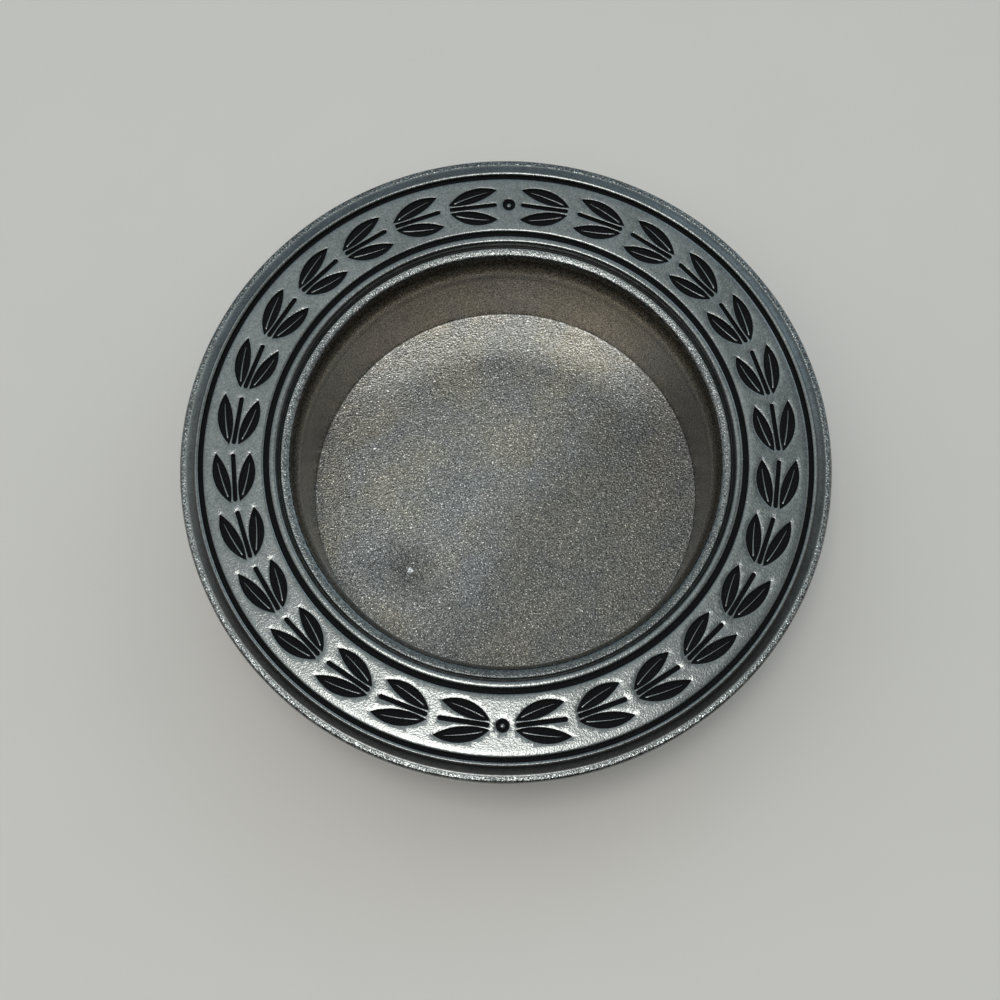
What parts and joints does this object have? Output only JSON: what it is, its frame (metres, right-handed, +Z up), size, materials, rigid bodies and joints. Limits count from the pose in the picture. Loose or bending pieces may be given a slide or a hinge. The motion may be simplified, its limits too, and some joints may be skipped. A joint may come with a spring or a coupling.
{
  "type": "wine bottle coaster",
  "caption": "Round cast metal dish with a deep well for a wine bottle and a wide moulded rim with black inlaid lines and a laurel wreath, on a felt base.",
  "frame": {"origin": "on the table under the centre of the dish, at the underside of the felt", "axes": "+Z up along the axis of the dish; -Y is the near side, where the wreath begins"},
  "size_m": [0.1566, 0.1566, 0.0381],
  "materials": {
    "cast_metal": "satin sand-cast metal, lightly polished on the rim",
    "black_fill": "matt black lacquer in the recesses",
    "felt": "pressed wool felt"
  },
  "bodies": {
    "root": {"base_felt": "felt", "cast_dish": "cast_metal", "far_berry_inlay": "black_fill", "inner_line_inlay": "black_fill", "left_sprig_inlay_01": "black_fill", "left_sprig_inlay_02": "black_fill", "left_sprig_inlay_03": "black_fill", "left_sprig_inlay_04": "black_fill", "left_sprig_inlay_05": "black_fill", "left_sprig_inlay_06": "black_fill", "left_sprig_inlay_07": "black_fill", "left_sprig_inlay_08": "black_fill", "left_sprig_inlay_09": "black_fill", "left_sprig_inlay_10": "black_fill", "left_sprig_inlay_11": "black_fill", "left_sprig_inlay_12": "black_fill", "left_sprig_inlay_13": "black_fill", "left_sprig_inlay_14": "black_fill", "near_berry_inlay": "black_fill", "outer_line_inlay": "black_fill", "right_sprig_inlay_01": "black_fill", "right_sprig_inlay_02": "black_fill", "right_sprig_inlay_03": "black_fill", "right_sprig_inlay_04": "black_fill", "right_sprig_inlay_05": "black_fill", "right_sprig_inlay_06": "black_fill", "right_sprig_inlay_07": "black_fill", "right_sprig_inlay_08": "black_fill", "right_sprig_inlay_09": "black_fill", "right_sprig_inlay_10": "black_fill", "right_sprig_inlay_11": "black_fill", "right_sprig_inlay_12": "black_fill", "right_sprig_inlay_13": "black_fill", "right_sprig_inlay_14": "black_fill"}
  },
  "joints": []
}
